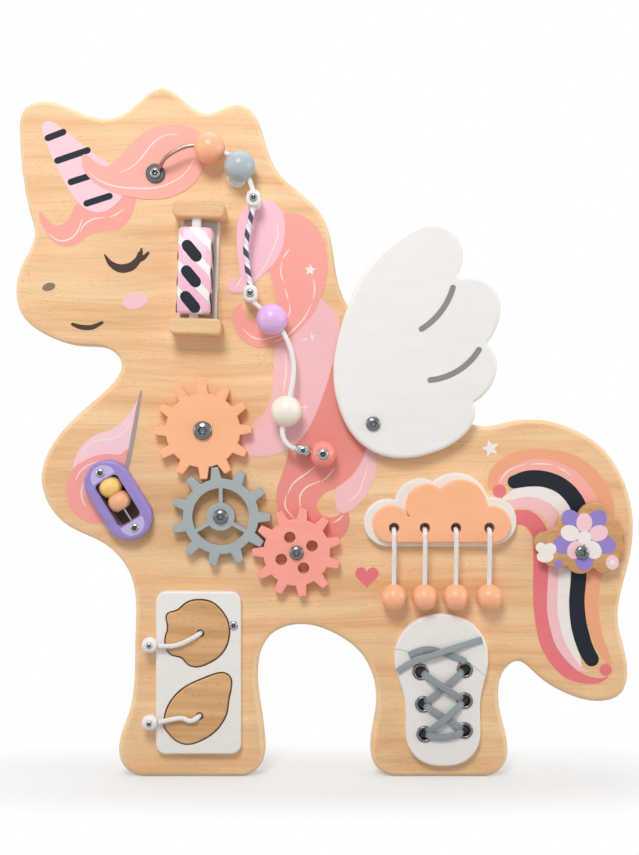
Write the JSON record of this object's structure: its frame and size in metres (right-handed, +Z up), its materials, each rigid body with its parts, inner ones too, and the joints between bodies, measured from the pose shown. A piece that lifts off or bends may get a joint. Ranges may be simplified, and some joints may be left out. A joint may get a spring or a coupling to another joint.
{
  "type": "wooden busy board",
  "caption": "Free-standing wooden activity board shaped like a small winged unicorn, with gears, bead track, roller, slider, swinging wing, pull beads, lacing shoe and puzzle pieces.",
  "frame": {"origin": "middle of the foot of the whole toy, on the surface it stands on", "axes": "+Z up, the face with the toys looks along -Y, +X to the right of a viewer in front"},
  "size_m": [0.4022, 0.0404, 0.4487],
  "materials": {
    "beech_ply": "lacquered beech plywood",
    "beech_solid": "solid beech, sanded and oiled",
    "white_paint": "white satin lacquer on wood",
    "peach_paint": "peach satin lacquer on wood",
    "grey_paint": "grey satin lacquer on wood",
    "coral_paint": "coral satin lacquer on wood",
    "purple_paint": "purple satin lacquer on wood",
    "cream_paint": "cream satin lacquer on wood",
    "yellow_bead": "yellow stained beech",
    "sand_bead": "peach stained beech",
    "white_sleeve": "white plastic sleeve over steel wire",
    "striped_sleeve": "woven sleeve, white and pink with navy dashes",
    "striped_drum": "printed candy stripes",
    "clear_channel": "milky plastic",
    "steel": "nickel plated steel",
    "dark_washer": "dark grey moulded plastic",
    "nylon": "white nylon",
    "white_cord": "white braided polyester cord",
    "lace": "grey blue flat braid"
  },
  "bodies": {
    "root": {"bead_wire_lower": "white_sleeve", "bead_wire_upper": "white_sleeve", "board": "beech_ply", "cloud_base": "white_paint", "cloud_front": "peach_paint", "cord_knobs": "white_paint", "end_knob": "coral_paint", "fruit_tether": "white_cord", "gear_bushes": "nylon", "gear_screws": "steel", "lace_ends": "lace", "leaf_tether": "white_cord", "panel_screws": "steel", "pull_cord_1": "white_cord", "pull_cord_2": "white_cord", "pull_cord_3": "white_cord", "pull_cord_4": "white_cord", "puzzle_panel": "white_paint", "rear_screws": "steel", "roller_axle": "steel", "roller_block_bottom": "beech_solid", "roller_block_top": "beech_solid", "roller_channel": "clear_channel", "shoe_eyelets": "steel", "shoe_plate": "white_paint", "shoelace": "lace", "slider_frame": "purple_paint", "slider_rod": "steel", "slider_screws": "steel", "spinner_screw": "steel", "spinner_spacer": "nylon", "striped_sleeve": "striped_sleeve", "track_stop": "white_paint", "wing_screw": "steel", "wing_spacer": "nylon", "wire_anchor_lower": "white_paint", "wire_anchor_upper": "white_paint", "wire_end_clip": "steel", "wire_screws": "steel", "wire_start_washer": "dark_washer"},
    "peach_gear_body": {"gear_peach": "peach_paint"},
    "grey_gear_body": {"gear_grey": "grey_paint"},
    "pink_gear_body": {"gear_pink": "coral_paint"},
    "wing_body": {"wing": "white_paint"},
    "spinner_body": {"cloud_spinner": "beech_solid"},
    "drum_body": {"roller_drum": "striped_drum"},
    "peach_bead_body": {"track_bead_peach": "peach_paint"},
    "grey_bead_body": {"track_bead_grey": "grey_paint"},
    "purple_bead_body": {"track_bead_purple": "purple_paint"},
    "cream_bead_body": {"track_bead_cream": "cream_paint"},
    "yellow_slider_body": {"slider_bead_yellow": "yellow_bead"},
    "peach_slider_body": {"slider_bead_peach": "sand_bead"},
    "pull_bead_1_body": {"pull_bead_1": "peach_paint"},
    "pull_bead_2_body": {"pull_bead_2": "peach_paint"},
    "pull_bead_3_body": {"pull_bead_3": "peach_paint"},
    "pull_bead_4_body": {"pull_bead_4": "peach_paint"},
    "fruit_body": {"puzzle_fruit": "beech_solid"},
    "leaf_body": {"puzzle_leaf": "beech_solid"}
  },
  "joints": [
    {"name": "peach_gear_spin", "type": "hinge", "parent": "root", "child": "peach_gear_body", "pos_m": [-0.0783, -0.00315, 0.2253], "axis": [0, -1, 0], "continuous": true},
    {"name": "grey_gear_spin", "type": "hinge", "parent": "root", "child": "grey_gear_body", "pos_m": [-0.06683, -0.00315, 0.1699], "axis": [0, -1, 0], "continuous": true},
    {"name": "pink_gear_spin", "type": "hinge", "parent": "root", "child": "pink_gear_body", "pos_m": [-0.01794, -0.00315, 0.14668], "axis": [0, -1, 0], "continuous": true},
    {"name": "wing_swing", "type": "hinge", "parent": "root", "child": "wing_body", "pos_m": [0.0311, -0.00485, 0.2296], "axis": [0, -1, 0], "range_deg": [-24, 30]},
    {"name": "spinner_spin", "type": "hinge", "parent": "root", "child": "spinner_body", "pos_m": [0.1655, -0.00335, 0.1468], "axis": [0, -1, 0], "continuous": true},
    {"name": "drum_spin", "type": "hinge", "parent": "root", "child": "drum_body", "pos_m": [-0.0826, -0.01215, 0.32864], "axis": [0.0314, 0, 0.9995], "continuous": true},
    {"name": "peach_bead_travel", "type": "hinge", "parent": "root", "child": "peach_bead_body", "pos_m": [-0.0818, -0.00985, 0.3713], "axis": [0, -1, 0], "range_deg": [-1.5, 11]},
    {"name": "grey_bead_travel", "type": "hinge", "parent": "root", "child": "grey_bead_body", "pos_m": [-0.0818, -0.00985, 0.3713], "axis": [0, -1, 0], "range_deg": [-10, 1.5]},
    {"name": "purple_bead_travel", "type": "hinge", "parent": "root", "child": "purple_bead_body", "pos_m": [-0.0672, -0.00985, 0.2637], "axis": [0, -1, 0], "range_deg": [-44, 2]},
    {"name": "cream_bead_travel", "type": "slide", "parent": "root", "child": "cream_bead_body", "axis": [0.2284, 0, 0.9736], "range_m": [-0.0005, 0.005]},
    {"name": "yellow_slider_travel", "type": "slide", "parent": "root", "child": "yellow_slider_body", "axis": [0.5299, 0, -0.848], "range_m": [0, 0.0045]},
    {"name": "peach_slider_travel", "type": "slide", "parent": "yellow_slider_body", "child": "peach_slider_body", "axis": [0.5299, 0, -0.848], "range_m": [0, 0.0045]},
    {"name": "pull_bead_1_lift", "type": "slide", "parent": "root", "child": "pull_bead_1_body", "axis": [0, 0, 1], "range_m": [0, 0.018], "deforming": ["pull_cord_1"]},
    {"name": "pull_bead_2_lift", "type": "slide", "parent": "root", "child": "pull_bead_2_body", "axis": [0, 0, 1], "range_m": [0, 0.018], "deforming": ["pull_cord_2"]},
    {"name": "pull_bead_3_lift", "type": "slide", "parent": "root", "child": "pull_bead_3_body", "axis": [0, 0, 1], "range_m": [0, 0.018], "deforming": ["pull_cord_3"]},
    {"name": "pull_bead_4_lift", "type": "slide", "parent": "root", "child": "pull_bead_4_body", "axis": [0, 0, 1], "range_m": [0, 0.018], "deforming": ["pull_cord_4"]},
    {"name": "fruit_lift", "type": "slide", "parent": "root", "child": "fruit_body", "axis": [0, -1, 0], "range_m": [0, 0.012], "deforming": ["fruit_tether"]},
    {"name": "leaf_lift", "type": "slide", "parent": "root", "child": "leaf_body", "axis": [0, -1, 0], "range_m": [0, 0.012], "deforming": ["leaf_tether"]}
  ],
  "couplings": [
    {"joint": "peach_gear_spin", "follows": "grey_gear_spin", "ratio": -0.91667},
    {"joint": "pink_gear_spin", "follows": "grey_gear_spin", "ratio": -1}
  ]
}
